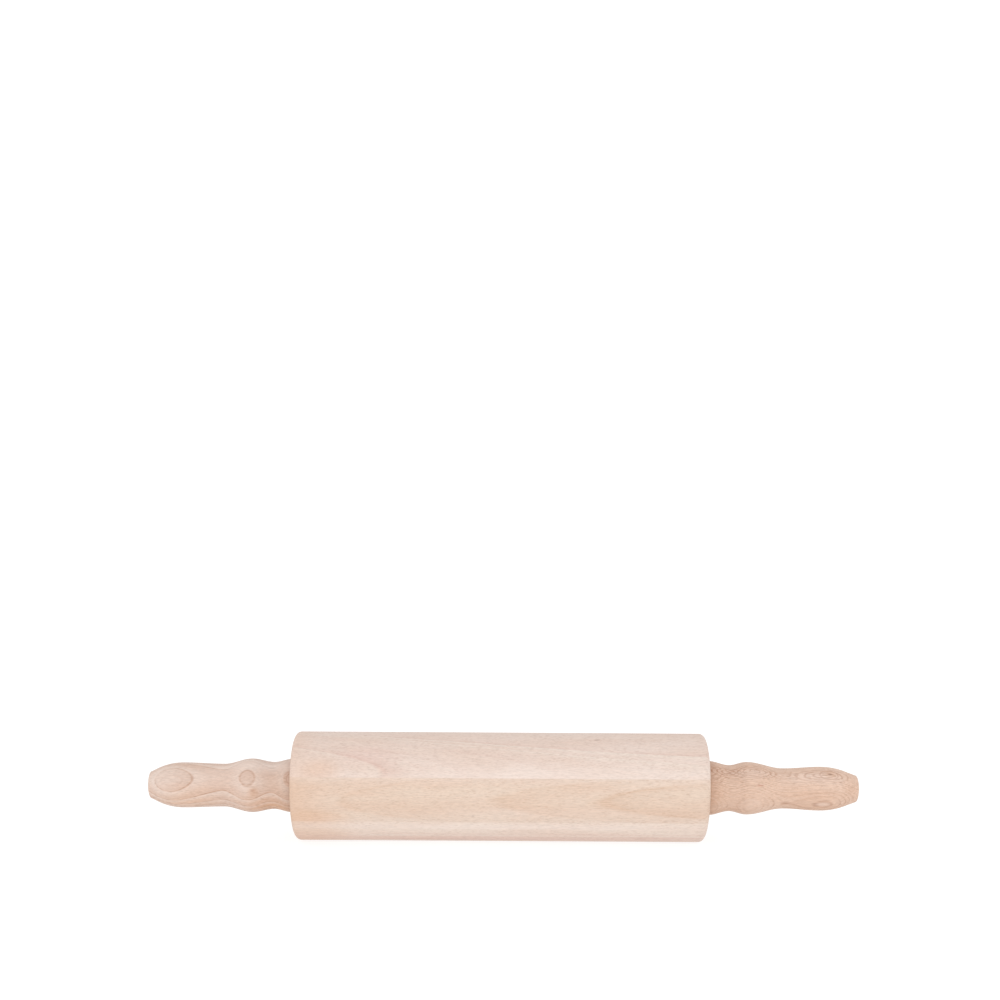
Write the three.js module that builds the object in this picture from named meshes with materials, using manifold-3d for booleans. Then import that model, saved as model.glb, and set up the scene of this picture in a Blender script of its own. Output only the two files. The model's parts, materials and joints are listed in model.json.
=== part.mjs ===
// Beech rolling pin: a glued-up roller that spins on a steel axle between two turned handles.
// Millimetres, +Z up, +X along the axle. The origin lies under the middle of the roller,
// on the surface that the roller rests on.

import * as THREE from 'three';
import { mergeVertices } from 'three/addons/utils/BufferGeometryUtils.js';
import Module from 'manifold-3d';

// Roller, turned from three planks glued face to face.
const ROLLER_DIAMETER = 66.8;
const ROLLER_LENGTH = 250;
const ROLLER_EDGE_RADIUS = 3.4;
const MIDDLE_PLANK_THICKNESS = 27.2;
const GLUE_LINE = 0.2;

// Steel axle, glued into both handles.
const AXLE_DIAMETER = 8;
const AXLE_GRIP = 55;
const AXLE_CHAMFER = 0.8;
const GROOVE_COUNT = 3;
const GROOVE_PITCH = 12;
const GROOVE_WIDTH = 2;
const GROOVE_DEPTH = 0.4;
const GLUE_ROOM = 0.8;

// Flanged nylon bushes in the ends of the roller.
const BUSH_WALL = 3.75;
const BUSH_LENGTH = 24;
const BUSH_LEAD_IN = 1;
const FLANGE_RIM = 4;
const FLANGE_THICKNESS = 2;
const FLANGE_PROUD = 0.3;
const ROLLER_BORE_ROOM = 2;

// Thrust washers between the bush flanges and the handles.
const WASHER_RIM = 7;
const WASHER_THICKNESS = 0.8;

// Clearances: around what is pressed or glued, around what turns, and endways at each washer.
const SEAT_GAP = 0.2;
const RUNNING_GAP = 0.25;
const END_FLOAT = 0.3;

// Left handle: radii at the crests and hollows of its wave, from the roller out to the tip,
// then lengths, each from the last crest or hollow to the next.
// The handles are turned by hand, so the two differ a little.
const LEFT_FLARE_RADIUS = 16.4;
const LEFT_NECK_RADIUS = 14.5;
const LEFT_BEAD_RADIUS = 16.5;
const LEFT_WAIST_RADIUS = 13.2;
const LEFT_PALM_RADIUS = 13.9;
const LEFT_CONE_RADIUS = 10.3;
const LEFT_TIP_RADIUS = 8.5;
const LEFT_NECK_RUN = 10.9;
const LEFT_BEAD_RUN = 13.5;
const LEFT_WAIST_RUN = 17.3;
const LEFT_PALM_RUN = 25.2;
const LEFT_SHOULDER_RUN = 15.6;
const LEFT_CONE_RUN = 4.4;

// Right handle, in the same order.
const RIGHT_FLARE_RADIUS = 16.7;
const RIGHT_NECK_RADIUS = 14.2;
const RIGHT_BEAD_RADIUS = 16.2;
const RIGHT_WAIST_RADIUS = 12.4;
const RIGHT_PALM_RADIUS = 13.5;
const RIGHT_CONE_RADIUS = 10.1;
const RIGHT_TIP_RADIUS = 8.4;
const RIGHT_NECK_RUN = 13.2;
const RIGHT_BEAD_RUN = 10.5;
const RIGHT_WAIST_RUN = 22.5;
const RIGHT_PALM_RUN = 23;
const RIGHT_SHOULDER_RUN = 16.6;
const RIGHT_CONE_RUN = 5.4;

// Edges of both handles.
const FLARE_ROUNDING = 1.2;
const TIP_ROUNDING = 0.8;

// Facets round each turned piece, and steps along its curves.
const ROLLER_FACETS = 64;
const HANDLE_FACETS = 48;
const METAL_FACETS = 24;
const WAVE_STEPS = 5;
const ARC_STEPS = 3;

// Sizes that follow from the ones above.
const rollerRadius = ROLLER_DIAMETER / 2;
const axleRadius = AXLE_DIAMETER / 2;
const axisHeight = rollerRadius * Math.cos(Math.PI / ROLLER_FACETS);
const bushBoreRadius = axleRadius + RUNNING_GAP;
const bushRadius = bushBoreRadius + BUSH_WALL;
const flangeRadius = bushRadius + FLANGE_RIM;
const washerBoreRadius = axleRadius + SEAT_GAP;
const washerStart = FLANGE_PROUD + END_FLOAT;
const handleStart = washerStart + WASHER_THICKNESS + SEAT_GAP;
const axleHalfLength = ROLLER_LENGTH / 2 + handleStart + AXLE_GRIP;

// Each handle's form, with its waves as pairs of run and radius.
const leftForm = {
  flareRadius: LEFT_FLARE_RADIUS,
  waves: [
    [LEFT_NECK_RUN, LEFT_NECK_RADIUS],
    [LEFT_BEAD_RUN, LEFT_BEAD_RADIUS],
    [LEFT_WAIST_RUN, LEFT_WAIST_RADIUS],
    [LEFT_PALM_RUN, LEFT_PALM_RADIUS],
  ],
  shoulderRun: LEFT_SHOULDER_RUN,
  coneRadius: LEFT_CONE_RADIUS,
  coneRun: LEFT_CONE_RUN,
  tipRadius: LEFT_TIP_RADIUS,
};
const rightForm = {
  flareRadius: RIGHT_FLARE_RADIUS,
  waves: [
    [RIGHT_NECK_RUN, RIGHT_NECK_RADIUS],
    [RIGHT_BEAD_RUN, RIGHT_BEAD_RADIUS],
    [RIGHT_WAIST_RUN, RIGHT_WAIST_RADIUS],
    [RIGHT_PALM_RUN, RIGHT_PALM_RADIUS],
  ],
  shoulderRun: RIGHT_SHOULDER_RUN,
  coneRadius: RIGHT_CONE_RADIUS,
  coneRun: RIGHT_CONE_RUN,
  tipRadius: RIGHT_TIP_RADIUS,
};

// Materials

const beech = (color) => new THREE.MeshStandardMaterial({ color, roughness: 0.62, metalness: 0 });
const rollerBeech = beech(0xe9d3c1);
const middleBeech = beech(0xebd2bb);
const handleBeech = beech(0xdfc6b3);
const steel = new THREE.MeshStandardMaterial({ color: 0xb9bbbe, roughness: 0.35, metalness: 1 });
const nylon = new THREE.MeshStandardMaterial({ color: 0xeeebe2, roughness: 0.5, metalness: 0 });

// Profiles, as points of radius and distance along the axis

const point = (radius, along) => new THREE.Vector2(radius, along);

// A smooth half wave from one crest or hollow to the next, without its first point.
function halfWave(fromRadius, toRadius, start, run) {
  const points = [];
  for (let step = 1; step <= WAVE_STEPS; step++) {
    const share = step / WAVE_STEPS;
    const blend = (1 - Math.cos(Math.PI * share)) / 2;
    points.push(point(fromRadius + (toRadius - fromRadius) * blend, start + run * share));
  }
  return points;
}

// A round corner about a centre, from one angle to another, with both its end points.
function roundCorner(centreRadius, centreAlong, cornerRadius, fromAngle, toAngle) {
  const points = [];
  for (let step = 0; step <= ARC_STEPS; step++) {
    const angle = fromAngle + ((toAngle - fromAngle) * step) / ARC_STEPS;
    const radius = centreRadius + cornerRadius * Math.cos(angle);
    points.push(point(radius, centreAlong + cornerRadius * Math.sin(angle)));
  }
  return points;
}

// A round shoulder that leaves its crest level and falls by the given drop over the run.
function shoulder(crestRadius, drop, start, run) {
  const arcRadius = (run * run + drop * drop) / (2 * drop);
  const points = [];
  for (let step = 1; step <= WAVE_STEPS; step++) {
    const along = (run * step) / WAVE_STEPS;
    const fall = arcRadius - Math.sqrt(arcRadius * arcRadius - along * along);
    points.push(point(crestRadius - fall, start + along));
  }
  return points;
}

// A profile is turned about +X, with a flat of its facets facing straight down.
function turned(profile, facets) {
  const geometry = new THREE.LatheGeometry(profile, facets, Math.PI / facets, 2 * Math.PI);
  return geometry.rotateZ(-Math.PI / 2);
}

// A ring has a closed profile, so its bore runs right through.
const ring = (profile, facets) => turned([...profile, profile[0]], facets);

// Cutting

const wasm = await Module();
wasm.setup();

function solidOf(geometry) {
  const bare = geometry.index ? geometry.clone() : geometry;
  bare.deleteAttribute('normal');
  bare.deleteAttribute('uv');
  const merged = mergeVertices(bare, 1e-4);
  const corners = merged.index.array;
  const kept = [];
  for (let i = 0; i < corners.length; i += 3) {
    const [a, b, c] = [corners[i], corners[i + 1], corners[i + 2]];
    if (a !== b && b !== c && c !== a) kept.push(a, b, c);
  }
  const mesh = new wasm.Mesh({
    numProp: 3,
    vertProperties: new Float32Array(merged.attributes.position.array),
    triVerts: new Uint32Array(kept),
  });
  return new wasm.Manifold(mesh);
}

function geometryOf(solid) {
  const mesh = solid.getMesh();
  const geometry = new THREE.BufferGeometry();
  geometry.setAttribute('position', new THREE.BufferAttribute(mesh.vertProperties, 3));
  geometry.setIndex(new THREE.BufferAttribute(mesh.triVerts, 1));
  geometry.computeVertexNormals();
  return geometry;
}

// Roller: a round blank with rounded edges, cut into planks and bored for the axle and bushes

function rollerBlank() {
  const cornerRadius = rollerRadius - ROLLER_EDGE_RADIUS;
  const cornerAlong = ROLLER_LENGTH / 2 - ROLLER_EDGE_RADIUS;
  return turned([
    point(0, -ROLLER_LENGTH / 2),
    ...roundCorner(cornerRadius, -cornerAlong, ROLLER_EDGE_RADIUS, -Math.PI / 2, 0),
    ...roundCorner(cornerRadius, cornerAlong, ROLLER_EDGE_RADIUS, 0, Math.PI / 2),
    point(0, ROLLER_LENGTH / 2),
  ], ROLLER_FACETS);
}

// The drilled hole: a through bore for the axle, opened at both ends for a bush and its flange.
function boreCutter() {
  const boreRadius = axleRadius + ROLLER_BORE_ROOM;
  const bushSeat = ROLLER_LENGTH / 2 - BUSH_LENGTH - SEAT_GAP;
  const flangeSeat = ROLLER_LENGTH / 2 - (FLANGE_THICKNESS - FLANGE_PROUD) - SEAT_GAP;
  const past = ROLLER_LENGTH / 2 + ROLLER_EDGE_RADIUS;
  const outerHalf = [
    point(boreRadius, bushSeat),
    point(bushRadius + SEAT_GAP, bushSeat),
    point(bushRadius + SEAT_GAP, flangeSeat),
    point(flangeRadius + SEAT_GAP, flangeSeat),
    point(flangeRadius + SEAT_GAP, past),
  ];
  const innerHalf = outerHalf.map((p) => point(p.x, -p.y)).reverse();
  return turned([point(0, -past), ...innerHalf, ...outerHalf, point(0, past)], METAL_FACETS);
}

function plank(name, bottom, top, material) {
  const slab = new THREE.BoxGeometry(2 * ROLLER_LENGTH, 2 * ROLLER_DIAMETER, top - bottom);
  slab.translate(0, 0, (bottom + top) / 2);
  const solid = solidOf(rollerBlank()).intersect(solidOf(slab)).subtract(solidOf(boreCutter()));
  const mesh = new THREE.Mesh(geometryOf(solid), material);
  mesh.name = name;
  return mesh;
}

function rollerPlanks() {
  const gluePlane = MIDDLE_PLANK_THICKNESS / 2;
  const outside = ROLLER_DIAMETER;
  return [
    plank('roller_plank_upper', gluePlane + GLUE_LINE, outside, rollerBeech),
    plank('roller_plank_middle', -gluePlane, gluePlane, middleBeech),
    plank('roller_plank_lower', -outside, -gluePlane - GLUE_LINE, rollerBeech),
  ];
}

// Axle: a straight rod with chamfered ends and shallow grooves that key the glue

function axleEndProfile() {
  const points = [];
  const grooveRadius = axleRadius - GROOVE_DEPTH;
  const firstGroove = axleHalfLength - GROOVE_COUNT * GROOVE_PITCH;
  for (let i = 0; i < GROOVE_COUNT; i++) {
    const from = firstGroove + i * GROOVE_PITCH;
    points.push(point(axleRadius, from));
    points.push(point(grooveRadius, from + GROOVE_DEPTH));
    points.push(point(grooveRadius, from + GROOVE_WIDTH - GROOVE_DEPTH));
    points.push(point(axleRadius, from + GROOVE_WIDTH));
  }
  points.push(point(axleRadius, axleHalfLength - AXLE_CHAMFER));
  points.push(point(axleRadius - AXLE_CHAMFER, axleHalfLength));
  points.push(point(0, axleHalfLength));
  return points;
}

function axleRod() {
  const rightEnd = axleEndProfile();
  const leftEnd = rightEnd.map((p) => point(p.x, -p.y)).reverse();
  const mesh = new THREE.Mesh(turned([...leftEnd, ...rightEnd], METAL_FACETS), steel);
  mesh.name = 'axle_rod';
  return mesh;
}

// Pieces at one end of the pin, measured outwards from the end face of the roller

function bush(name) {
  const flangeBack = FLANGE_PROUD - FLANGE_THICKNESS;
  const profile = [
    point(bushBoreRadius, -BUSH_LENGTH),
    point(bushRadius - BUSH_LEAD_IN, -BUSH_LENGTH),
    point(bushRadius, -BUSH_LENGTH + BUSH_LEAD_IN),
    point(bushRadius, flangeBack),
    point(flangeRadius, flangeBack),
    point(flangeRadius, FLANGE_PROUD),
    point(bushBoreRadius, FLANGE_PROUD),
  ];
  const mesh = new THREE.Mesh(ring(profile, METAL_FACETS), nylon);
  mesh.name = name;
  return mesh;
}

function thrustWasher(name) {
  const profile = [
    point(washerBoreRadius, 0),
    point(washerBoreRadius + WASHER_RIM, 0),
    point(washerBoreRadius + WASHER_RIM, WASHER_THICKNESS),
    point(washerBoreRadius, WASHER_THICKNESS),
  ];
  const mesh = new THREE.Mesh(ring(profile, METAL_FACETS), steel);
  mesh.name = name;
  mesh.position.x = washerStart;
  return mesh;
}

function handle(name, form) {
  const boreRadius = axleRadius + SEAT_GAP;
  const boreDepth = AXLE_GRIP + GLUE_ROOM;
  const profile = [
    point(0, boreDepth),
    point(boreRadius, boreDepth),
    point(boreRadius, 0),
    ...roundCorner(form.flareRadius - FLARE_ROUNDING, FLARE_ROUNDING, FLARE_ROUNDING, -Math.PI / 2, 0),
  ];
  let along = FLARE_ROUNDING;
  let radius = form.flareRadius;
  for (const [run, nextRadius] of form.waves) {
    profile.push(...halfWave(radius, nextRadius, along, run));
    along += run;
    radius = nextRadius;
  }
  profile.push(...shoulder(radius, radius - form.coneRadius, along, form.shoulderRun));
  const tip = along + form.shoulderRun + form.coneRun;
  const endRadius = form.tipRadius - TIP_ROUNDING;
  profile.push(...roundCorner(endRadius, tip - TIP_ROUNDING, TIP_ROUNDING, 0, Math.PI / 2));
  profile.push(point(0, tip));
  const mesh = new THREE.Mesh(turned(profile, HANDLE_FACETS), handleBeech);
  mesh.name = name;
  mesh.position.x = handleStart;
  return mesh;
}

function pinEnd(side, turnAboutZ, form) {
  const end = new THREE.Group();
  end.add(bush(`${side}_bush`), thrustWasher(`${side}_thrust_washer`), handle(`${side}_handle`, form));
  end.position.x = (ROLLER_LENGTH / 2) * Math.cos(turnAboutZ);
  end.rotation.z = turnAboutZ;
  return end;
}

// Assembly

const rollingPin = new THREE.Group();
rollingPin.position.z = axisHeight;
rollingPin.add(...rollerPlanks(), axleRod());
rollingPin.add(pinEnd('left', Math.PI, leftForm), pinEnd('right', 0, rightForm));

export default rollingPin;
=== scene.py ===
"""Looks of a beech rolling pin: a glued-up roller on a steel axle between two turned handles."""

import json
import math

import bmesh
import bpy
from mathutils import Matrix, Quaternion, Vector


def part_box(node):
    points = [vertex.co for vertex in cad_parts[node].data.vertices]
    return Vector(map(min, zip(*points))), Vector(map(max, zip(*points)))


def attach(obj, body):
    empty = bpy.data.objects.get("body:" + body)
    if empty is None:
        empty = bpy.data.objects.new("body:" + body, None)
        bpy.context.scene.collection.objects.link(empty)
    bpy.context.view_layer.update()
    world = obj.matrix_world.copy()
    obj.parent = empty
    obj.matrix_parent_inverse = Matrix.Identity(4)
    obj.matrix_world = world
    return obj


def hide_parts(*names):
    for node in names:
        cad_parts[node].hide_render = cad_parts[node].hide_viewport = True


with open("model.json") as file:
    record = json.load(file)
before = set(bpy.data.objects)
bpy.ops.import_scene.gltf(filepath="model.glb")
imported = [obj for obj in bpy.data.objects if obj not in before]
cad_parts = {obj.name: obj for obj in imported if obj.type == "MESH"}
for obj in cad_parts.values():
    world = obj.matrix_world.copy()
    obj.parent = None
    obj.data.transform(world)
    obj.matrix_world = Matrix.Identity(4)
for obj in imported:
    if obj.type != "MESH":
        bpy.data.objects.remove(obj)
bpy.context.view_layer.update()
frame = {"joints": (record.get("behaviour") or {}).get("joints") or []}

# Roller planks
# Three beech planks are glued face to face and turned to one plain cylinder with rounded edges.
# The middle plank is bored for the axle, and both ends of the bore are opened for a bush.
# The wood is sanded fine and left bare, so each plank keeps its own tone and figure.

MM = 0.001
AXLE_HEIGHT = frame["joints"][0]["pos_m"][2]
ROLLER_RADIUS = AXLE_HEIGHT
ROLLER_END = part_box("roller_plank_middle")[1].x
ROLLER_EDGE_RADIUS = 3.4 * MM
GLUE_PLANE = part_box("roller_plank_middle")[1].z - AXLE_HEIGHT
AXLE_BORE_RADIUS = 6 * MM
BUSH_SEAT_RADIUS = 8.2 * MM
BUSH_SEAT_DEPTH = 24.2 * MM
FLANGE_SEAT_RADIUS = 12.2 * MM
FLANGE_SEAT_DEPTH = 1.9 * MM
ROLLER_FACETS = 256
SHARP_EDGE = math.radians(40)


def round_over(centre_along, centre_radius, radius, from_angle, to_angle, steps=10):
    """Points of an arc in a profile, each as distance along the axle line and radius from it."""
    points = []
    for step in range(steps + 1):
        angle = math.radians(from_angle + (to_angle - from_angle) * step / steps)
        points.append((centre_along + radius * math.sin(angle), centre_radius + radius * math.cos(angle)))
    return points


def turn(profile, facets):
    """A bmesh turned about the axle line. The profile starts and ends on the line or closes on itself."""
    bm = bmesh.new()
    rings = []
    angles = [2 * math.pi * i / facets for i in range(facets)]
    for along, radius in profile:
        if radius == 0:
            rings.append([bm.verts.new((along, 0, AXLE_HEIGHT))] * facets)
        else:
            rings.append([
                bm.verts.new((along, radius * math.sin(a), AXLE_HEIGHT + radius * math.cos(a)))
                for a in angles
            ])
    if profile[0][1] != 0:
        rings.append(rings[0])
    for near, far in zip(rings, rings[1:]):
        for i in range(facets):
            j = (i + 1) % facets
            bm.faces.new(list(dict.fromkeys((near[i], near[j], far[j], far[i]))))
    bmesh.ops.recalc_face_normals(bm, faces=bm.faces)
    return bm


def make_piece(name, bm, material):
    """The bmesh becomes a smooth-shaded object whose edges stay crisp where the surface turns sharply."""
    mesh = bpy.data.meshes.new(name)
    bm.to_mesh(mesh)
    bm.free()
    mesh.shade_smooth()
    mesh.set_sharp_from_angle(angle=SHARP_EDGE)
    mesh.materials.append(material)
    piece = bpy.data.objects.new(name, mesh)
    bpy.context.scene.collection.objects.link(piece)
    return piece


def add_node(tree, kind, settings=None, inputs=None):
    """A new node with its settings made and each input either linked or set."""
    node = tree.nodes.new(kind)
    for setting, value in (settings or {}).items():
        setattr(node, setting, value)
    for place, value in (inputs or {}).items():
        if isinstance(value, bpy.types.NodeSocket):
            tree.links.new(value, node.inputs[place])
        else:
            node.inputs[place].default_value = value
    return node


def math_node(tree, operation, *values):
    """The result of one sum on sockets or numbers."""
    node = add_node(tree, "ShaderNodeMath", {"operation": operation}, dict(enumerate(values)))
    return node.outputs[0]


def vector_node(tree, operation, *values):
    """The vector that comes out of one sum on vectors."""
    node = add_node(tree, "ShaderNodeVectorMath", {"operation": operation}, dict(enumerate(values)))
    return node.outputs[0]


def reach(tree, place, direction):
    """How far a place lies along a direction."""
    node = add_node(tree, "ShaderNodeVectorMath", {"operation": "DOT_PRODUCT"}, {0: place, 1: direction})
    return node.outputs["Value"]


def ease(tree, value, low, high, at_low=0.0, at_high=1.0):
    """A smooth step from one value to another as the input goes from low to high."""
    node = add_node(tree, "ShaderNodeMapRange", {"interpolation_type": "SMOOTHSTEP"},
                    {0: value, 1: low, 2: high, 3: at_low, 4: at_high})
    return node.outputs[0]


def tint(tree, share, under, over):
    """One colour laid over another by a share."""
    node = add_node(tree, "ShaderNodeMix", {"data_type": "RGBA"}, {0: share, 6: under, 7: over})
    return node.outputs[2]


def noise(tree, place, stretch, shift, detail):
    """Smooth noise from 0 to 1, with the given number of waves to a millimetre in each direction."""
    where = vector_node(tree, "MULTIPLY_ADD", place, stretch, (shift, shift, shift))
    node = add_node(tree, "ShaderNodeTexNoise", None, {"Vector": where, "Scale": 1.0, "Detail": detail})
    return node.outputs[0]


def blank_material(name):
    """A new material, with its node tree and its shader."""
    material = bpy.data.materials.new(name)
    material.use_nodes = True
    return material, material.node_tree, material.node_tree.nodes["Principled BSDF"]


def emboss(tree, shader, relief, strength, depth):
    """Fine relief in the skin of a material, as deep as the depth where the relief goes from 0 to 1."""
    bump = add_node(tree, "ShaderNodeBump", None,
                    {"Strength": strength, "Distance": depth, "Height": relief})
    tree.links.new(bump.outputs[0], shader.inputs["Normal"])


def colour(red, green, blue):
    """A colour given as it looks on a screen, 0 to 255, turned into light."""
    def light(value):
        share = value / 255
        return share / 12.92 if share <= 0.04045 else ((share + 0.055) / 1.055) ** 2.4
    return (light(red), light(green), light(blue), 1.0)


def on_piece(tree):
    """The place on a piece in millimetres from the middle of the axle."""
    coordinates = add_node(tree, "ShaderNodeTexCoord")
    return vector_node(tree, "MULTIPLY_ADD", coordinates.outputs["Object"],
                       (1 / MM, 1 / MM, 1 / MM), (0, 0, -AXLE_HEIGHT / MM))


STRAY_WAVES = (0.02, 0.05, 0.05)
CLOUD_WAVES = (0.09, 0.09, 0.016)
FIBRE_WAVES = (1.7, 1.7, 0.22)
YEAR_WAVES = (0.2, 0.1, 0.02)
RAY_SIZE = 0.26
RAY_SIZE_SPREAD = 0.22
RAY_RIM = (-0.06, 0.12)
FAINTEST_RAY = 0.2
RAY_RELIEF = -0.7
SPOT_RIM = (0.15, 1.15)
OVAL_RIM = (0.9, 1.15)
OVAL_LINE = (0.26, 0.47)
OVAL_RAGGEDNESS = 0.6
END_TINT_WAVER = 40.0
EDGE_PALING = 7
EDGE_PALE_SHARE = 0.6
EDGE_FADING = 8
EDGE_LINE_SHARE = 0.3
END_GRAIN_TURN = (0.8, 1.0)
END_GRAIN_SHARE = 0.55
FIBRE_RELIEF = 0.12
FIBRE_DEPTH = 0.15 * MM
BEECH_ROUGHNESS = (0.55, 0.68)
BEECH_GLOSS = 0.2


def farness(tree, place, spot):
    """Distance from an oval spot, 1 at its rim. Its height is the angle above the level at the front."""
    height = math.radians(spot["height"])
    centre = (spot["along"], -spot["radius"] * math.cos(height), spot["radius"] * math.sin(height))
    offset = vector_node(tree, "SUBTRACT", place, centre)
    half_width = spot["width"] / 2
    scaled = vector_node(tree, "DIVIDE", offset, (spot["length"] / 2, half_width, half_width))
    return add_node(tree, "ShaderNodeVectorMath", {"operation": "LENGTH"}, {0: scaled}).outputs["Value"]


def grain(tree, place, wood):
    """Growth out from the pith, the way around it and the way along the grain, in millimetres.

    The bark side faces an angle above the level at the front, and the rings rise and bow along the grain.
    """
    where = vector_node(tree, "MULTIPLY_ADD", place, STRAY_WAVES, (wood["seed"], wood["seed"], 0))
    stray = add_node(tree, "ShaderNodeTexNoise", None, {"Vector": where, "Scale": 1.0, "Detail": 2.0})
    stray = vector_node(tree, "SUBTRACT", stray.outputs["Color"], (0.5, 0.5, 0.5))
    place = vector_node(tree, "MULTIPLY_ADD", stray, (0, wood["stray"], wood["stray"]), place)
    facing = math.radians(wood["facing"])
    outward = reach(tree, place, (0, -math.cos(facing), math.sin(facing)))
    outward = math_node(tree, "ADD", outward, wood["pith_depth"])
    sideways = reach(tree, place, (0, math.sin(facing), math.cos(facing)))
    along = reach(tree, place, (1, 0, 0))
    squares = math_node(tree, "MULTIPLY", sideways, sideways)
    squares = math_node(tree, "MULTIPLY_ADD", outward, outward, squares)
    distance = math_node(tree, "SQRT", squares)
    around = math_node(tree, "MULTIPLY", math_node(tree, "ARCTAN2", sideways, outward), distance)
    from_middle = math_node(tree, "SUBTRACT", along, wood["middle"])
    climb = math_node(tree, "MULTIPLY_ADD", from_middle, wood["bow"], wood["rise"])
    growth = math_node(tree, "SUBTRACT", distance, wood["pith_depth"])
    growth = math_node(tree, "MULTIPLY_ADD", from_middle, climb, growth)
    return add_node(tree, "ShaderNodeCombineXYZ", None, {0: growth, 1: around, 2: along}).outputs[0]


def growth_rings(tree, fibre_place, fibre, wood):
    """Shares of dark and of pale wood, by the strengths of line, tone and pale end in each year.

    A year starts with a thin dark line, goes on in a dark tone that fades, and ends pale.
    """
    ring, years = wood["ring"], wood["years"]
    half_line = wood["line"] / ring
    growth = reach(tree, fibre_place, (1, 0, 0))
    count = math_node(tree, "MULTIPLY_ADD", growth, 1 / ring, wood["first_ring"] + half_line)
    within = math_node(tree, "FRACT", count)
    year = math_node(tree, "FLOORED_MODULO", math_node(tree, "FLOOR", count), float(len(years)))
    ramp = add_node(tree, "ShaderNodeValToRGB", None,
                    {0: math_node(tree, "MULTIPLY_ADD", year, 1 / len(years), 0.5 / len(years))})
    ramp.color_ramp.interpolation = "CONSTANT"
    ramp.color_ramp.elements.remove(ramp.color_ramp.elements[1])
    ramp.color_ramp.elements[0].color = (*years[0], 1)
    for i in range(1, len(years)):
        ramp.color_ramp.elements.new(i / len(years)).color = (*years[i], 1)
    line_strength, tone_strength, pale_strength = add_node(
        tree, "ShaderNodeSeparateColor", None, {0: ramp.outputs[0]}).outputs
    off_line = math_node(tree, "ABSOLUTE", math_node(tree, "SUBTRACT", within, half_line))
    line = ease(tree, off_line, 0.0, half_line, 1.0, 0.0)
    line = math_node(tree, "MULTIPLY", line, ease(tree, fibre, 0.3, 0.7, 1.3, 0.5))
    tone = math_node(tree, "POWER", math_node(tree, "SUBTRACT", 1.0, within), wood["tone_fall"])
    tone = math_node(tree, "MULTIPLY", tone, ease(tree, within, 0.5 * half_line, 1.5 * half_line))
    tone = math_node(tree, "MULTIPLY", tone, tone_strength)
    dark = math_node(tree, "MULTIPLY_ADD", line, line_strength, tone)
    come_and_go = noise(tree, fibre_place, YEAR_WAVES, wood["seed"] + 9, 1.0)
    dark = math_node(tree, "MULTIPLY", dark, ease(tree, come_and_go, 0.35, 0.65, 0.5, 1.2))
    pale = math_node(tree, "MULTIPLY", ease(tree, within, 0.4, 1.0), pale_strength)
    return dark, pale


def rays(tree, fibre_place, wood):
    """Share of the thin dark sheets of ray cells, which run out from the pith across the rings."""
    stretch = (1 / wood["ray_length"], 1 / wood["ray_gap"], 1 / wood["ray_height"])
    cells = vector_node(tree, "MULTIPLY_ADD", fibre_place, stretch, (wood["seed"], 0, wood["seed"]))
    voronoi = add_node(tree, "ShaderNodeTexVoronoi", {"feature": "F1"}, {"Vector": cells, "Scale": 1.0})
    luck = add_node(tree, "ShaderNodeSeparateColor", None, {0: voronoi.outputs["Color"]}).outputs
    size = math_node(tree, "MULTIPLY_ADD", luck[0], RAY_SIZE_SPREAD, RAY_SIZE)
    margin = math_node(tree, "SUBTRACT", size, voronoi.outputs["Distance"])
    strength = math_node(tree, "MULTIPLY_ADD", luck[1], 1 - FAINTEST_RAY, FAINTEST_RAY)
    return math_node(tree, "MULTIPLY", ease(tree, margin, *RAY_RIM), strength)


def spotted(tree, skin, place, ragged, spots):
    """The colour with oval spots laid over it, strongest in their middles and with ragged rims."""
    for spot in spots:
        far = math_node(tree, "ADD", farness(tree, place, spot), ragged)
        skin = tint(tree, ease(tree, far, *SPOT_RIM, spot["share"], 0.0), skin, spot["shade"])
    return skin


def knotted(tree, skin, place, ragged, knots):
    """The colour with nested dark ovals laid over it, where the lathe cuts through bulging rings."""
    for knot in knots:
        far = math_node(tree, "MULTIPLY_ADD", ragged, OVAL_RAGGEDNESS, farness(tree, place, knot))
        beat = math_node(tree, "FRACT", math_node(tree, "MULTIPLY", far, knot["ovals"]))
        off_middle = math_node(tree, "ABSOLUTE", math_node(tree, "SUBTRACT", beat, 0.5))
        inside = ease(tree, far, *OVAL_RIM, knot["share"], 0.0)
        share = math_node(tree, "MULTIPLY", ease(tree, off_middle, *OVAL_LINE), inside)
        skin = tint(tree, share, skin, knot["shade"])
    return skin


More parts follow.
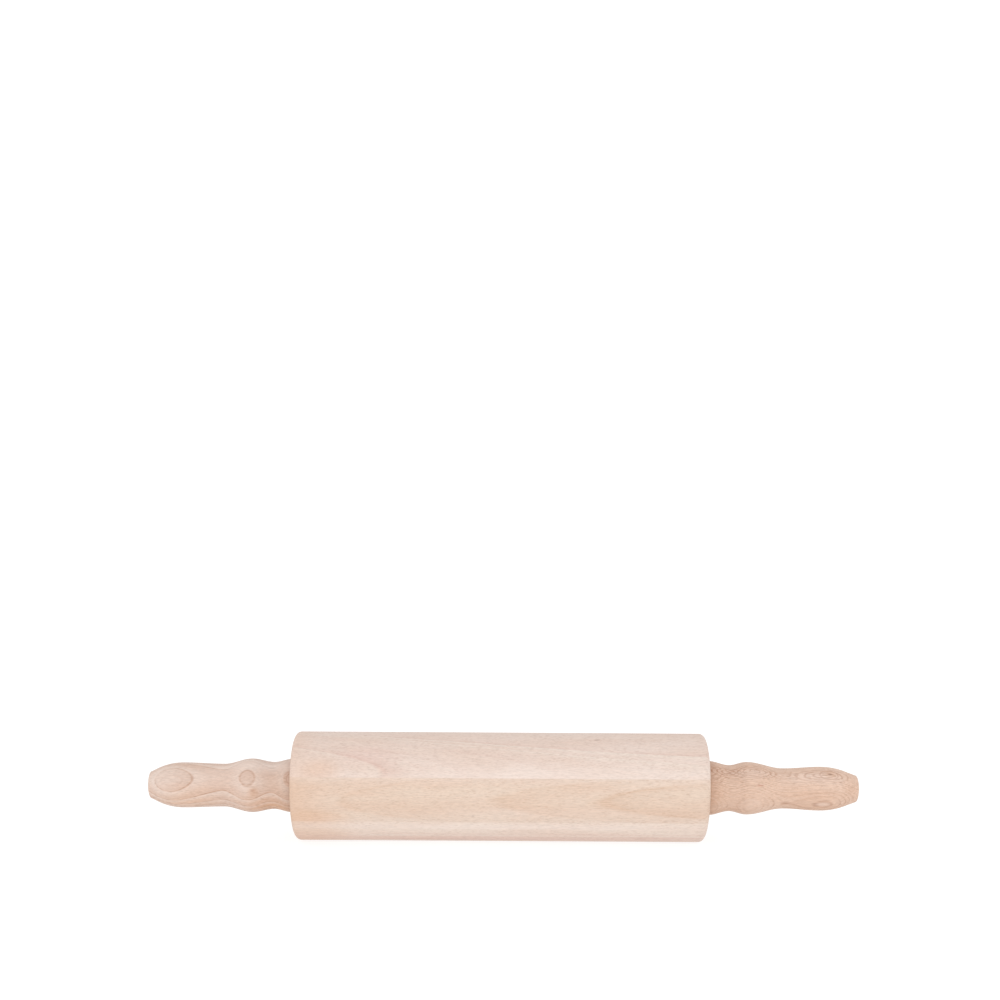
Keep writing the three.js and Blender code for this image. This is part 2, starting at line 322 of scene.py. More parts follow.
def beech(name, wood):
    """Bare sanded beech, solid all through, so that long grain and end grain belong together."""
    material, tree, shader = blank_material(name)
    seed = wood["seed"]
    place = on_piece(tree)
    fibre_place = grain(tree, place, wood)
    cloud = noise(tree, fibre_place, CLOUD_WAVES, seed, 3.0)
    ray_mask = rays(tree, fibre_place, wood)
    fibre = noise(tree, fibre_place, FIBRE_WAVES, seed + 5, 2.0)
    ragged = math_node(tree, "MULTIPLY_ADD", fibre, 0.4, -0.65)
    ragged = math_node(tree, "MULTIPLY_ADD", cloud, 0.9, ragged)

    skin = tint(tree, ease(tree, cloud, 0.3, 0.7), wood["pale"], wood["warm"])
    # Some tones are painted shade: darker undersides of the handles and darker necks beside the roller.
    skin = spotted(tree, skin, place, ragged, wood.get("tones", ()))
    dark_share, pale_share = growth_rings(tree, fibre_place, fibre, wood)
    if "edge" in wood:
        off_heart = math_node(tree, "ABSOLUTE", reach(tree, fibre_place, (0, 1, 0)))
        paling = ease(tree, off_heart, wood["edge"] - EDGE_PALING, wood["edge"], 0.0, EDGE_PALE_SHARE)
        skin = tint(tree, paling, skin, wood["light"])
        fading = ease(tree, off_heart, wood["edge"] - EDGE_FADING, wood["edge"], 1.0, EDGE_LINE_SHARE)
        dark_share = math_node(tree, "MULTIPLY", dark_share, fading)
    skin = tint(tree, pale_share, skin, wood["light"])
    skin = tint(tree, dark_share, skin, wood["dark"])
    # Toward the left end the wood is tinted warmer and darker.
    for end_tint in wood.get("end_tints", ()):
        along = math_node(tree, "MULTIPLY_ADD", cloud, END_TINT_WAVER, reach(tree, place, (1, 0, 0)))
        share = ease(tree, along, end_tint["from"], end_tint["to"], 0.0, end_tint["share"])
        skin = tint(tree, share, skin, end_tint["shade"])
    skin = tint(tree, math_node(tree, "MULTIPLY", ray_mask, wood["ray_share"]), skin, wood["ray"])
    skin = knotted(tree, skin, place, ragged, wood.get("knots", ()))
    # Some marks are painted light: paler bands along the roller and paler tops on the handles. One is a
    # painted shade band along the roller's underside.
    skin = spotted(tree, skin, place, ragged, wood.get("marks", ()))
    normal = add_node(tree, "ShaderNodeTexCoord").outputs["Normal"]
    squareness = math_node(tree, "ABSOLUTE", reach(tree, normal, (1, 0, 0)))
    cut_across = ease(tree, squareness, *END_GRAIN_TURN, 0.0, END_GRAIN_SHARE)
    skin = tint(tree, cut_across, skin, wood["end_grain"])
    streak = ease(tree, fibre, 0.25, 0.75, 1 - wood["streak"], 1 + wood["streak"])
    skin = add_node(tree, "ShaderNodeVectorMath", {"operation": "SCALE"}, {0: skin, 3: streak}).outputs[0]
    tree.links.new(skin, shader.inputs["Base Color"])

    relief = math_node(tree, "MULTIPLY_ADD", ray_mask, RAY_RELIEF, fibre)
    emboss(tree, shader, relief, FIBRE_RELIEF, FIBRE_DEPTH)
    tree.links.new(ease(tree, fibre, 0.2, 0.8, *BEECH_ROUGHNESS), shader.inputs["Roughness"])
    shader.inputs["Specular IOR Level"].default_value = BEECH_GLOSS
    return material


# Spot shades: the pale one is pale figure and painted light; the tan, brown and rose ones are wood tones
# and painted shade.
PALE_FIGURE_AND_LIGHT = colour(219, 206, 198)
TAN_TONE_AND_SHADE = colour(201, 158, 126)
BROWN_TONE_AND_SHADE = colour(184, 140, 109)
ROSE_TONE_AND_SHADE = colour(193, 142, 132)
KNOT_BROWN = colour(156, 112, 88)
BARK_DARK = colour(101, 71, 56)
# Each wood is given in millimetres and degrees.
# The height of a spot is its angle above the level at the front.
PLANK_WOOD = {
    "upper": {
        "pale": colour(209, 192, 182), "warm": colour(206, 186, 174), "light": colour(211, 198, 187),
        "dark": colour(189, 154, 143), "ray": colour(176, 147, 133), "end_grain": colour(172, 143, 124),
        "facing": 208, "pith_depth": 110, "middle": 0, "rise": 0.078, "bow": -0.00027, "stray": 1.0,
        "ring": 2.25, "first_ring": 0.78, "line": 0.35, "tone_fall": 0.8,
        "years": ((0.0, 0.1, 0.0), (0.06, 0.1, 0.0), (0.0, 0.0, 0.0), (0.13, 0.1, 0.0), (0.0, 0.0, 0.5),
                  (0.0, 0.0, 0.7), (0.22, 0.22, 0.0), (0.05, 0.1, 0.0), (0.05, 0.1, 0.0), (0.0, 0.1, 0.0),
                  (0.0, 0.0, 0.0), (0.0, 0.0, 0.0), (0.0, 0.0, 0.0), (0.0, 0.0, 0.0), (0.0, 0.0, 0.3),
                  (0.22, 0.3, 0.0)),
        "ray_gap": 0.6, "ray_height": 2.6, "ray_length": 12, "ray_share": 0.4, "streak": 0.07, "seed": 11,
        "end_tints": [{"from": -85, "to": -110, "shade": TAN_TONE_AND_SHADE, "share": 0.2}],
        "marks": [
            {"along": -79, "height": 50, "radius": 33.4, "length": 46, "width": 19,
             "shade": ROSE_TONE_AND_SHADE, "share": 0.15},
            # A warmer, darker patch at the left end.
            {"along": -107, "height": 32, "radius": 33.4, "length": 30, "width": 20,
             "shade": TAN_TONE_AND_SHADE, "share": 0.29},
            # A paler band along the whole length: partly pale figure, partly painted light where the soft
            # box falls brightest.
            {"along": 30, "height": 27, "radius": 33.4, "length": 260, "width": 14,
             "shade": PALE_FIGURE_AND_LIGHT, "share": 0.4},
            {"along": 58.4, "height": 74.3, "radius": 33.4, "length": 5.4, "width": 1.7,
             "shade": BARK_DARK, "share": 0.5},
        ],
    },
    "middle": {
        "pale": colour(205, 185, 169), "warm": colour(202, 177, 159), "light": colour(208, 191, 179),
        "dark": colour(185, 148, 120), "ray": colour(175, 143, 122), "end_grain": colour(174, 143, 118),
        "facing": 0.7, "pith_depth": 110, "middle": 0, "rise": 0.0283, "bow": -0.000044, "stray": 0.6,
        "ring": 1.51, "first_ring": 0.937, "line": 0.2, "tone_fall": 2.6, "edge": 14,
        "years": ((0.15, 0.35, 0.0), (0.1, 0.1, 0.0), (0.1, 0.1, 0.0), (0.1, 0.1, 0.0), (0.05, 0.1, 0.1),
                  (0.18, 0.15, 0.0), (0.0, 0.0, 0.2), (0.12, 0.2, 0.18)),
        "ray_gap": 0.6, "ray_height": 2.6, "ray_length": 12, "ray_share": 0.4, "streak": 0.07, "seed": 4,
        "end_tints": [{"from": -75, "to": -110, "shade": TAN_TONE_AND_SHADE, "share": 0.26}],
        "marks": [
            # A warmer, darker patch at the left end.
            {"along": -114, "height": -22, "radius": 33.4, "length": 52, "width": 18,
             "shade": TAN_TONE_AND_SHADE, "share": 0.37},
            # A paler band along the whole length: partly pale figure, partly painted light.
            {"along": 20, "height": -12, "radius": 33.4, "length": 220, "width": 9,
             "shade": PALE_FIGURE_AND_LIGHT, "share": 0.2},
            {"along": -16, "height": -16.4, "radius": 33.4, "length": 2.2, "width": 1.6,
             "shade": BARK_DARK, "share": 0.19},
        ],
    },
    "lower": {
        "pale": colour(212, 196, 184), "warm": colour(210, 190, 177), "light": colour(214, 200, 188),
        "dark": colour(199, 155, 142), "ray": colour(179, 150, 134), "end_grain": colour(175, 146, 126),
        "facing": 100, "pith_depth": 110, "middle": 0, "rise": 0.002, "bow": 0, "stray": 1.0,
        "ring": 3.0, "first_ring": 0.243, "line": 0.35, "tone_fall": 1.2,
        "years": ((0.3, 0.15, 0.0), (0.0, 0.0, 0.1), (0.06, 0.05, 0.1), (0.0, 0.0, 0.0), (0.0, 0.0, 0.0),
                  (0.1, 0.3, 0.0), (0.1, 0.35, 0.0), (0.1, 0.35, 0.0)),
        "ray_gap": 0.6, "ray_height": 2.6, "ray_length": 12, "ray_share": 0.4, "streak": 0.07, "seed": 23,
        "end_tints": [{"from": -60, "to": -95, "shade": TAN_TONE_AND_SHADE, "share": 0.32}],
        "marks": [
            # A paler band along the whole length: partly pale figure, partly painted light.
            {"along": 0, "height": -31, "radius": 33.4, "length": 340, "width": 7,
             "shade": PALE_FIGURE_AND_LIGHT, "share": 0.42},
            # A rose band along the underside: partly the plank's pink tone, partly painted shade near the
            # floor.
            {"along": 0, "height": -55, "radius": 33.4, "length": 340, "width": 9,
             "shade": ROSE_TONE_AND_SHADE, "share": 0.26},
        ],
    },
}


def roller_blank():
    """The whole turned and bored roller, before it is looked at plank by plank."""
    edge_radius = ROLLER_RADIUS - ROLLER_EDGE_RADIUS
    edge_along = ROLLER_END - ROLLER_EDGE_RADIUS
    right_half = [
        *round_over(edge_along, edge_radius, ROLLER_EDGE_RADIUS, 0, 90),
        (ROLLER_END, FLANGE_SEAT_RADIUS),
        (ROLLER_END - FLANGE_SEAT_DEPTH, FLANGE_SEAT_RADIUS),
        (ROLLER_END - FLANGE_SEAT_DEPTH, BUSH_SEAT_RADIUS),
        (ROLLER_END - BUSH_SEAT_DEPTH, BUSH_SEAT_RADIUS),
        (ROLLER_END - BUSH_SEAT_DEPTH, AXLE_BORE_RADIUS),
    ]
    left_half = [(-along, radius) for along, radius in reversed(right_half)]
    return turn(right_half + left_half, ROLLER_FACETS)


def saw(bm, height, keep_above):
    """One cut along a glue plane, which leaves a flat face there."""
    cut = bmesh.ops.bisect_plane(
        bm, geom=bm.verts[:] + bm.edges[:] + bm.faces[:], plane_co=(0, 0, AXLE_HEIGHT + height),
        plane_no=(0, 0, 1), clear_inner=keep_above, clear_outer=not keep_above,
    )
    edges = [part for part in cut["geom_cut"] if isinstance(part, bmesh.types.BMEdge)]
    bmesh.ops.holes_fill(bm, edges=edges)


for plank, cuts in {
    "upper": [(GLUE_PLANE, True)],
    "middle": [(-GLUE_PLANE, True), (GLUE_PLANE, False)],
    "lower": [(-GLUE_PLANE, False)],
}.items():
    blank = roller_blank()
    for height, keep_above in cuts:
        saw(blank, height, keep_above)
    piece = make_piece(f"{plank}_plank", blank, beech(f"{plank}_plank_beech", PLANK_WOOD[plank]))
    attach(piece, "roller")
    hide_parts(f"roller_plank_{plank}")

# Bushes
# A flanged bush is moulded from natural nylon and pressed into each end of the roller.
# The axle turns in its bore, and its flange stands a little proud so that no wood rubs.

BUSH_BORE_RADIUS = 4.25 * MM
BUSH_RADIUS = 8 * MM
BUSH_LEAD_IN = 1 * MM
FLANGE_RADIUS = 12 * MM
FLANGE_THICKNESS = 2 * MM
FLANGE_ROUNDING = 0.3 * MM
BUSH_FACETS = 96
FLANGE_ROUNDING_STEPS = 4
NYLON_CLOUD_WAVES = (0.25, 0.25, 0.25)
MOULD_SKIN_WAVES = (6, 6, 6)
MOULD_SKIN_RELIEF = 0.1
MOULD_SKIN_DEPTH = 0.05 * MM
NYLON_ROUGHNESS = (0.38, 0.52)


def nylon(name, shade, cloudy_shade):
    """Natural moulded nylon: milky, a little cloudy, with the fine matt skin of the mould."""
    material, tree, shader = blank_material(name)
    place = on_piece(tree)
    cloud = noise(tree, place, NYLON_CLOUD_WAVES, 2, 2.0)
    skin = noise(tree, place, MOULD_SKIN_WAVES, 8, 2.0)
    milk = tint(tree, ease(tree, cloud, 0.3, 0.7), shade, cloudy_shade)
    tree.links.new(milk, shader.inputs["Base Color"])
    tree.links.new(ease(tree, skin, 0.2, 0.8, *NYLON_ROUGHNESS), shader.inputs["Roughness"])
    emboss(tree, shader, skin, MOULD_SKIN_RELIEF, MOULD_SKIN_DEPTH)
    return material


bush_nylon = nylon("bush_milky_nylon", colour(238, 236, 228), colour(230, 227, 216))
for side, direction in (("left", -1), ("right", 1)):
    inner_end, outer_face = (abs(corner.x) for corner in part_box(f"{side}_bush")[::direction])
    shoulder = outer_face - FLANGE_THICKNESS
    rounding = round_over(outer_face - FLANGE_ROUNDING, FLANGE_RADIUS - FLANGE_ROUNDING, FLANGE_ROUNDING,
                          0, 90, FLANGE_ROUNDING_STEPS)
    profile = [
        (inner_end, BUSH_BORE_RADIUS),
        (inner_end, BUSH_RADIUS - BUSH_LEAD_IN),
        (inner_end + BUSH_LEAD_IN, BUSH_RADIUS),
        (shoulder, BUSH_RADIUS),
        (shoulder, FLANGE_RADIUS),
        *rounding,
        (outer_face, BUSH_BORE_RADIUS),
    ]
    profile = [(direction * along, radius) for along, radius in profile]
    piece = make_piece(f"{side}_flanged_sleeve", turn(profile, BUSH_FACETS), bush_nylon)
    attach(piece, "roller")
    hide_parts(f"{side}_bush")

# Axle
# A length of drawn bright steel rod runs through both bushes and ends inside the handles.
# Shallow grooves near its ends give the glue a hold, and both ends are chamfered.

AXLE_RADIUS = 4 * MM
AXLE_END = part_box("axle_rod")[1].x
AXLE_CHAMFER = 0.8 * MM
GROOVE_COUNT = 3
GROOVE_PITCH = 12 * MM
GROOVE_WIDTH = 2 * MM
GROOVE_DEPTH = 0.4 * MM
AXLE_FACETS = 64
DRAWN_LINES = (0.05, 5, 5)
STEEL_CLOUD_WAVES = (0.12, 0.12, 0.12)
STEEL_LINE_RELIEF = 0.1
STEEL_LINE_DEPTH = 0.03 * MM
STEEL_ROUGHNESS = (0.26, 0.42)


def steel(name, shade, dull_shade, line_waves):
    """Bright steel with fine lines from its making. They run the way that has the fewest waves."""
    material, tree, shader = blank_material(name)
    place = on_piece(tree)
    lines = noise(tree, place, line_waves, 3, 2.0)
    cloud = noise(tree, place, STEEL_CLOUD_WAVES, 6, 2.0)
    skin = tint(tree, ease(tree, cloud, 0.3, 0.7), shade, dull_shade)
    tree.links.new(skin, shader.inputs["Base Color"])
    tree.links.new(ease(tree, lines, 0.2, 0.8, *STEEL_ROUGHNESS), shader.inputs["Roughness"])
    emboss(tree, shader, lines, STEEL_LINE_RELIEF, STEEL_LINE_DEPTH)
    shader.inputs["Metallic"].default_value = 1.0
    return material


right_half = []
for i in range(GROOVE_COUNT):
    start = AXLE_END - (GROOVE_COUNT - i) * GROOVE_PITCH
    right_half += [
        (start, AXLE_RADIUS),
        (start + GROOVE_DEPTH, AXLE_RADIUS - GROOVE_DEPTH),
        (start + GROOVE_WIDTH - GROOVE_DEPTH, AXLE_RADIUS - GROOVE_DEPTH),
        (start + GROOVE_WIDTH, AXLE_RADIUS),
    ]
right_half += [
    (AXLE_END - AXLE_CHAMFER, AXLE_RADIUS),
    (AXLE_END, AXLE_RADIUS - AXLE_CHAMFER),
    (AXLE_END, 0),
]
left_half = [(-along, radius) for along, radius in reversed(right_half)]
rod_steel = steel("drawn_rod_steel", colour(219, 220, 222), colour(206, 207, 210), DRAWN_LINES)
piece = make_piece("drawn_rod", turn(left_half + right_half, AXLE_FACETS), rod_steel)
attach(piece, "handles_and_axle")
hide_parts("axle_rod")

# Thrust washers
# A thin washer is stamped from steel and slipped on the axle between each bush flange and handle.
# It keeps the end grain of the handle off the flange.

WASHER_BORE_RADIUS = 4.2 * MM
WASHER_RADIUS = 11.2 * MM
WASHER_ROUNDING = 0.15 * MM
WASHER_ROUNDING_STEPS = 4
WASHER_FACETS = 96
STAMPED_LINES = (3, 3, 3)

washer_steel = steel("washer_stamped_steel", colour(216, 217, 219), colour(200, 201, 204), STAMPED_LINES)
for side, direction in (("left", -1), ("right", 1)):
    inner_face, outer_face = (abs(corner.x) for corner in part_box(f"{side}_thrust_washer")[::direction])
    rim = WASHER_RADIUS - WASHER_ROUNDING
    profile = [
        (inner_face, WASHER_BORE_RADIUS),
        *round_over(inner_face + WASHER_ROUNDING, rim, WASHER_ROUNDING, -90, 0, WASHER_ROUNDING_STEPS),
        *round_over(outer_face - WASHER_ROUNDING, rim, WASHER_ROUNDING, 0, 90, WASHER_ROUNDING_STEPS),
        (outer_face, WASHER_BORE_RADIUS),
    ]
    profile = [(direction * along, radius) for along, radius in profile]
    piece = make_piece(f"{side}_stamped_ring", turn(profile, WASHER_FACETS), washer_steel)
    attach(piece, "handles_and_axle")
    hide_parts(f"{side}_thrust_washer")

# Handles
# Each handle is turned by hand from one piece of beech: flare, neck, bead, waist, palm swell and end cone.
# It is bored from the inside and glued on the end of the axle, and its tip is parted off flat.
# The two differ a little in their lengths and crests, as turned work does.

HANDLE_BORE_RADIUS = 4.2 * MM
HANDLE_BORE_DEPTH = 55.8 * MM
FLARE_ROUNDING = 1.2 * MM
TIP_ROUNDING = 0.8 * MM
HANDLE_FACETS = 192
WAVE_STEPS = 24
HANDLE_FORM = {
    "left": {
        "flare": 16.4 * MM, "neck": (10.9 * MM, 14.5 * MM), "bead": (13.5 * MM, 16.5 * MM),
        "waist": (17.3 * MM, 13.2 * MM), "palm": (25.2 * MM, 13.9 * MM),
        "shoulder": (15.6 * MM, 10.3 * MM), "tip": 8.5 * MM,
    },
    "right": {
        "flare": 16.7 * MM, "neck": (13.2 * MM, 14.2 * MM), "bead": (10.5 * MM, 16.2 * MM),
        "waist": (22.5 * MM, 12.4 * MM), "palm": (23 * MM, 13.5 * MM),
        "shoulder": (16.6 * MM, 10.1 * MM), "tip": 8.4 * MM,
    },
}


def handle_profile(form, start, tip):
    """From the floor of the bore out to the flare, then crest by crest to the flat tip."""
    along, radius = start + FLARE_ROUNDING, form["flare"]
    points = [
        (start + HANDLE_BORE_DEPTH, 0),
        (start + HANDLE_BORE_DEPTH, HANDLE_BORE_RADIUS),
        (start, HANDLE_BORE_RADIUS),
        *round_over(along, radius - FLARE_ROUNDING, FLARE_ROUNDING, -90, 0),
    ]
    for crest in ("neck", "bead", "waist", "palm"):
        run, next_radius = form[crest]
        for step in range(1, WAVE_STEPS + 1):
            share = step / WAVE_STEPS
            blend = (1 - math.cos(math.pi * share)) / 2
            points.append((along + run * share, radius + (next_radius - radius) * blend))
        along, radius = along + run, next_radius
    run, cone_radius = form["shoulder"]
    drop = radius - cone_radius
    arc = (run * run + drop * drop) / (2 * drop)
    for step in range(1, WAVE_STEPS + 1):
        way = run * step / WAVE_STEPS
        points.append((along + way, radius - arc + math.sqrt(arc * arc - way * way)))
    points += round_over(tip - TIP_ROUNDING, form["tip"] - TIP_ROUNDING, TIP_ROUNDING, 0, 90)
    return points + [(tip, 0)]


PLAIN_BEECH = colour(203, 174, 155)
FLECK_RED = colour(156, 99, 82)
HANDLE_WOOD = {
    "left": {
        "pale": colour(202, 181, 168), "warm": colour(199, 173, 158), "light": colour(212, 197, 187),
        "dark": colour(173, 138, 118), "ray": colour(167, 136, 118), "end_grain": colour(167, 136, 114),
        "facing": 30.6, "pith_depth": 30, "middle": -165, "rise": -0.0589, "bow": 0.001176, "stray": 0.5,
        "ring": 3.2, "first_ring": 0.15, "line": 0.19, "tone_fall": 1.6,
        "years": ((0.6, 0.2, 0.2), (0.75, 0.25, 0.25), (0.9, 0.3, 0.3), (1.0, 0.3, 0.4), (0.8, 0.22, 0.3),
                  (0.6, 0.15, 0.1), (0.4, 0.2, 0.2), (0.4, 0.2, 0.2)),
        "ray_gap": 0.6, "ray_height": 2.4, "ray_length": 6, "ray_share": 0.34, "streak": 0.09, "seed": 37,
        "knots": [{"along": -199, "height": 27, "radius": 13.2, "length": 14, "width": 6.5, "ovals": 1,
                   "shade": KNOT_BROWN, "share": 0.16},
                  {"along": -125, "height": 30.6, "radius": 16.4, "length": 8.6, "width": 8.2, "ovals": 1,
                   "shade": KNOT_BROWN, "share": 0.41}],
        "tones": [
            # Darker brown at the neck beside the roller: painted shade from the roller's end, partly brown
            # tone.
            {"along": -128, "height": -10, "radius": 15, "length": 44, "width": 40,
             "shade": BROWN_TONE_AND_SHADE, "share": 0.28},
            # Tan on the underside of the bead and neck: partly yellow tone of the wood, partly painted
            # shade.
            {"along": -140, "height": -45, "radius": 15.5, "length": 42, "width": 14,
             "shade": TAN_TONE_AND_SHADE, "share": 0.72},
            # Tan on the underside of the palm: partly warm tone of the wood, partly painted shade.
            {"along": -190, "height": -32, "radius": 13.6, "length": 54, "width": 14,
             "shade": TAN_TONE_AND_SHADE, "share": 0.38},
            {"along": -188, "height": 0, "radius": 13.7, "length": 60, "width": 10,
             "shade": TAN_TONE_AND_SHADE, "share": 0.21},
            {"along": -146, "height": -22, "radius": 16.2, "length": 40, "width": 12,
             "shade": TAN_TONE_AND_SHADE, "share": 0.36},
        ],
        "marks": [
            {"along": -149, "height": 1, "radius": 16.3, "length": 9, "width": 9,
             "shade": BROWN_TONE_AND_SHADE, "share": 0.43},
            # Paler on top of the waist: partly pale wood, partly painted light from above.
            {"along": -172, "height": 42, "radius": 13, "length": 44, "width": 16,
             "shade": PALE_FIGURE_AND_LIGHT, "share": 0.17},
            {"along": -149.1, "height": 4.3, "radius": 16.3, "length": 4, "width": 2.6,
             "shade": KNOT_BROWN, "share": 0.39},
            # Paler at the tip and top of the palm: partly pale wood, partly painted light from above.
            {"along": -206, "height": 30, "radius": 11, "length": 36, "width": 26,
             "shade": PALE_FIGURE_AND_LIGHT, "share": 0.21},
            # Paler along the top of the neck, bead and waist: partly pale wood, partly painted light from
            # above.
            {"along": -146, "height": 66, "radius": 15, "length": 76, "width": 15,
             "shade": PALE_FIGURE_AND_LIGHT, "share": 0.5},
        ],
    },
    "right": {
        "pale": colour(207, 181, 164), "warm": PLAIN_BEECH, "light": colour(211, 191, 178),
        "dark": colour(168, 129, 108), "ray": colour(170, 134, 112), "end_grain": colour(170, 139, 115),
        "facing": -30.1, "pith_depth": 59.3, "middle": 195, "rise": 0.0111, "bow": 0.000404, "stray": 0.6,
        "ring": 0.92, "first_ring": 0.576, "line": 0.2, "tone_fall": 1.4,
        "years": ((0.34, 0.12, 0.0), (0.52, 0.2, 0.1), (0.25, 0.1, 0.0), (0.41, 0.12, 0.1),
                  (0.29, 0.12, 0.2), (0.32, 0.12, 0.0), (0.52, 0.12, 0.1)),
        "ray_gap": 0.6, "ray_height": 2.0, "ray_length": 2.5, "ray_share": 0.35, "streak": 0.09, "seed": 52,
        "knots": [
            {"along": 197, "height": 53, "radius": 13.2, "length": 34, "width": 9, "ovals": 3,
             "shade": KNOT_BROWN, "share": 0.52},
            {"along": 200.2, "height": 55, "radius": 13.2, "length": 11.5, "width": 6.4, "ovals": 1,
             "shade": KNOT_BROWN, "share": 0.56},
            {"along": 154.4, "height": 57, "radius": 15.9, "length": 31, "width": 11, "ovals": 4,
             "shade": KNOT_BROWN, "share": 0.58},
            {"along": 136.5, "height": 57, "radius": 14.6, "length": 21, "width": 8, "ovals": 3,
             "shade": KNOT_BROWN, "share": 0.59},
            {"along": 125.5, "height": 56, "radius": 16, "length": 27, "width": 17, "ovals": 4,
             "shade": KNOT_BROWN, "share": 0.33},
            {"along": 171.5, "height": 56, "radius": 12.4, "length": 19, "width": 5, "ovals": 2,
             "shade": KNOT_BROWN, "share": 0.43},
        ],
        "tones": [
            {"along": 188, "height": -6, "radius": 13, "length": 66, "width": 17,
             "shade": BROWN_TONE_AND_SHADE, "share": 0.2},
            {"along": 138, "height": -48, "radius": 15.3, "length": 44, "width": 8,
             "shade": BROWN_TONE_AND_SHADE, "share": 0.35},
            # Brown on the underside of the waist and palm: partly brown tone, partly painted shade.
            {"along": 192, "height": -50, "radius": 13.2, "length": 62, "width": 13,
             "shade": BROWN_TONE_AND_SHADE, "share": 0.36},
            {"along": 214, "height": 8, "radius": 10, "length": 14, "width": 26,
             "shade": BROWN_TONE_AND_SHADE, "share": 0.21},
            # Darker brown at the neck beside the roller: painted shade from the roller's end, partly brown
            # tone.
            {"along": 126, "height": -10, "radius": 15, "length": 36, "width": 44,
             "shade": BROWN_TONE_AND_SHADE, "share": 0.36},
        ],
        "marks": [
            {"along": 200.9, "height": 56.4, "radius": 13.2, "length": 9, "width": 5,
             "shade": BROWN_TONE_AND_SHADE, "share": 0.42},
            {"along": 200.9, "height": 56.4, "radius": 13.2, "length": 3.8, "width": 2.2,
             "shade": BARK_DARK, "share": 0.56},
            {"along": 157.6, "height": 21.7, "radius": 15.6, "length": 9, "width": 1.9,
             "shade": FLECK_RED, "share": 0.55},
            {"along": 173.7, "height": -32, "radius": 12.5, "length": 8, "width": 3.2,
             "shade": KNOT_BROWN, "share": 0.33},
            {"along": 152, "height": -33, "radius": 16.2, "length": 27, "width": 14,
             "shade": PLAIN_BEECH, "share": 0.5},
            {"along": 135, "height": -30, "radius": 14.8, "length": 26, "width": 15,
             "shade": PLAIN_BEECH, "share": 0.4},
            {"along": 154, "height": -19, "radius": 15.9, "length": 20, "width": 9,
             "shade": PALE_FIGURE_AND_LIGHT, "share": 0.11},
            {"along": 196, "height": -30, "radius": 13.4, "length": 14, "width": 5,
             "shade": PALE_FIGURE_AND_LIGHT, "share": 0.22},
            # Paler on top of the bead, between its ovals: partly pale wood, partly painted light from
            # above.
            {"along": 152, "height": 48, "radius": 15.9, "length": 32, "width": 13,
             "shade": PALE_FIGURE_AND_LIGHT, "share": 0.17},
            # Paler on top of the palm: partly pale wood, partly painted light from above.
            {"along": 192, "height": 46, "radius": 13.4, "length": 50, "width": 10,
             "shade": PALE_FIGURE_AND_LIGHT, "share": 0.15},
            {"along": 129, "height": 64, "radius": 15.5, "length": 8, "width": 7,
             "shade": KNOT_BROWN, "share": 0.36},
        ],
    },
}

for side, direction in (("left", -1), ("right", 1)):
    start, tip = (abs(corner.x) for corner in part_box(f"{side}_handle")[::direction])
    profile = handle_profile(HANDLE_FORM[side], start, tip)
    profile = [(direction * along, radius) for along, radius in profile]
    grip_beech = beech(f"{side}_grip_beech", HANDLE_WOOD[side])
    piece = make_piece(f"{side}_grip", turn(profile, HANDLE_FACETS), grip_beech)
    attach(piece, "handles_and_axle")
    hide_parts(f"{side}_handle")

# Studio
# The floor and the room are white and glow like a light tent, brightest at its sides, so shadows are faint.
# A big soft light stands in front and above, and the camera stands where the photo was taken from.

FLOOR_SIZE = 30.0
CLOTH_GREY = (0.3, 0.3, 0.3, 1)
CLOTH_ROUGHNESS = 0.9
CLOTH_GLOW = 0.79
half = FLOOR_SIZE / 2
floor_corners = [(-half, -half, 0), (half, -half, 0), (half, half, 0), (-half, half, 0)]
floor_mesh = bpy.data.meshes.new("floor")
floor_mesh.from_pydata(floor_corners, [], [(0, 1, 2, 3)])
floor = bpy.data.objects.new("floor", floor_mesh)
bpy.context.scene.collection.objects.link(floor)
tent_cloth, _, cloth = blank_material("tent_cloth")
cloth.inputs["Base Color"].default_value = CLOTH_GREY
cloth.inputs["Roughness"].default_value = CLOTH_ROUGHNESS
cloth.inputs["Specular IOR Level"].default_value = 0.0
cloth.inputs["Emission Color"].default_value = (1, 1, 1, 1)
cloth.inputs["Emission Strength"].default_value = CLOTH_GLOW
floor_mesh.materials.append(tent_cloth)

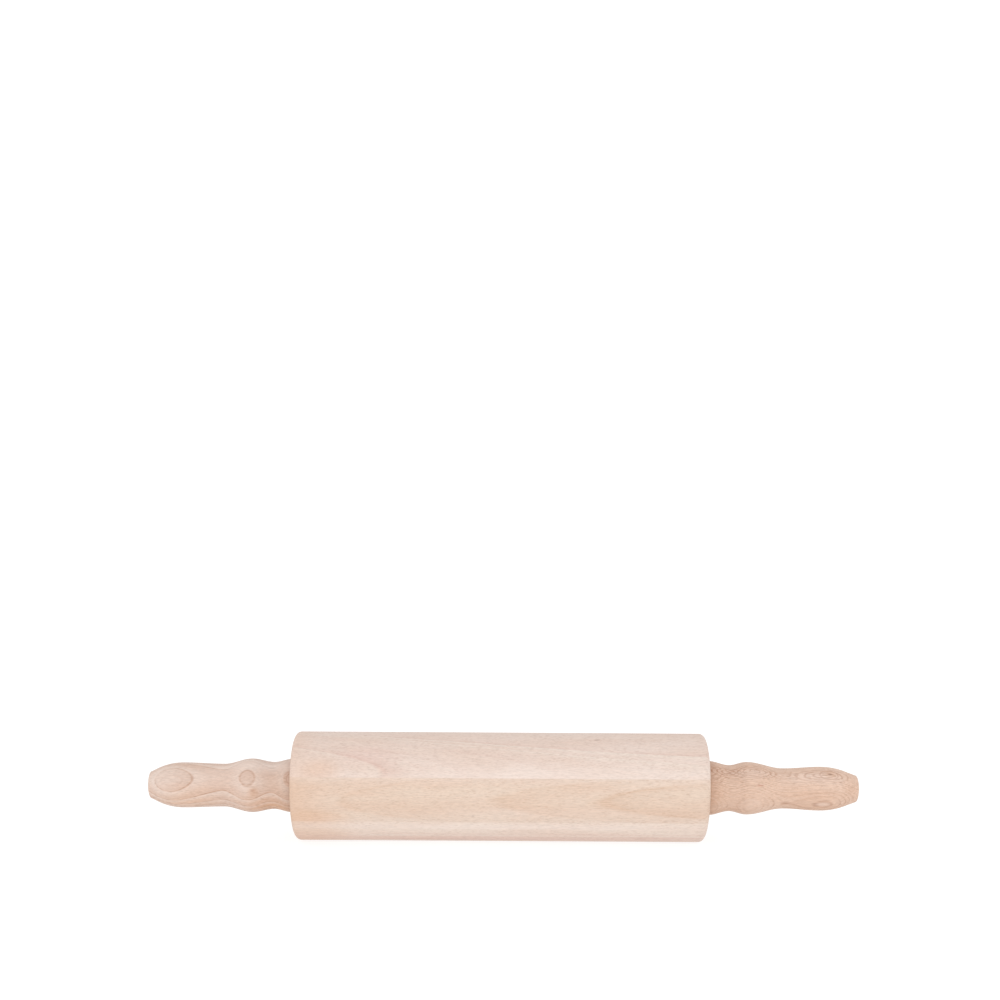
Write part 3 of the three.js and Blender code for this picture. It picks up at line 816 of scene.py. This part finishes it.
TENT_GLOW = 0.89
TENT_SIDE_GLOW = (0.6, 0.17, 0.0)
world = bpy.data.worlds.new("tent")
world.use_nodes = True
tent_tree = world.node_tree
way_out = add_node(tent_tree, "ShaderNodeTexCoord").outputs["Generated"]
squares = vector_node(tent_tree, "MULTIPLY", way_out, way_out)
glow = math_node(tent_tree, "ADD", reach(tent_tree, squares, TENT_SIDE_GLOW), TENT_GLOW)
background = tent_tree.nodes["Background"]
background.inputs["Color"].default_value = (1, 1, 1, 1)
tent_tree.links.new(glow, background.inputs["Strength"])
bpy.context.scene.world = world

LAMP_DISTANCE = 1.5
LAMP_ELEVATION = math.radians(20)
LAMP_WIDTH = 1.4
LAMP_HEIGHT = 0.8
LAMP_POWER = 6.2
lamp_data = bpy.data.lights.new("soft_box", "AREA")
lamp_data.shape = "RECTANGLE"
lamp_data.size = LAMP_WIDTH
lamp_data.size_y = LAMP_HEIGHT
lamp_data.energy = LAMP_POWER
lamp = bpy.data.objects.new("soft_box", lamp_data)
lamp_way = Vector((0, -math.cos(LAMP_ELEVATION), math.sin(LAMP_ELEVATION)))
lamp.location = Vector((0, 0, AXLE_HEIGHT)) + lamp_way * LAMP_DISTANCE
lamp.rotation_mode = "QUATERNION"
lamp.rotation_quaternion = (-lamp_way).to_track_quat("-Z", "Y")
bpy.context.scene.collection.objects.link(lamp)

SIGHT_DISTANCE = 0.8052
SIGHT_ELEVATION = math.radians(15.72)
PICTURE_ROLL = 0.0060
LENS = 47.07
SHIFT_UP = 0.28672
SENSOR_WIDTH = 36
camera_data = bpy.data.cameras.new("camera")
camera_data.sensor_width = SENSOR_WIDTH
camera_data.lens = LENS
camera_data.shift_y = SHIFT_UP
camera = bpy.data.objects.new("camera", camera_data)
camera.location = (
    0,
    -SIGHT_DISTANCE * math.cos(SIGHT_ELEVATION),
    AXLE_HEIGHT + SIGHT_DISTANCE * math.sin(SIGHT_ELEVATION),
)
camera.rotation_mode = "QUATERNION"
camera.rotation_quaternion = (
    Quaternion((1, 0, 0), math.pi / 2 - SIGHT_ELEVATION) @ Quaternion((0, 0, 1), PICTURE_ROLL)
)
bpy.context.scene.collection.objects.link(camera)
bpy.context.scene.camera = camera
bpy.context.scene.view_settings.view_transform = "Standard"
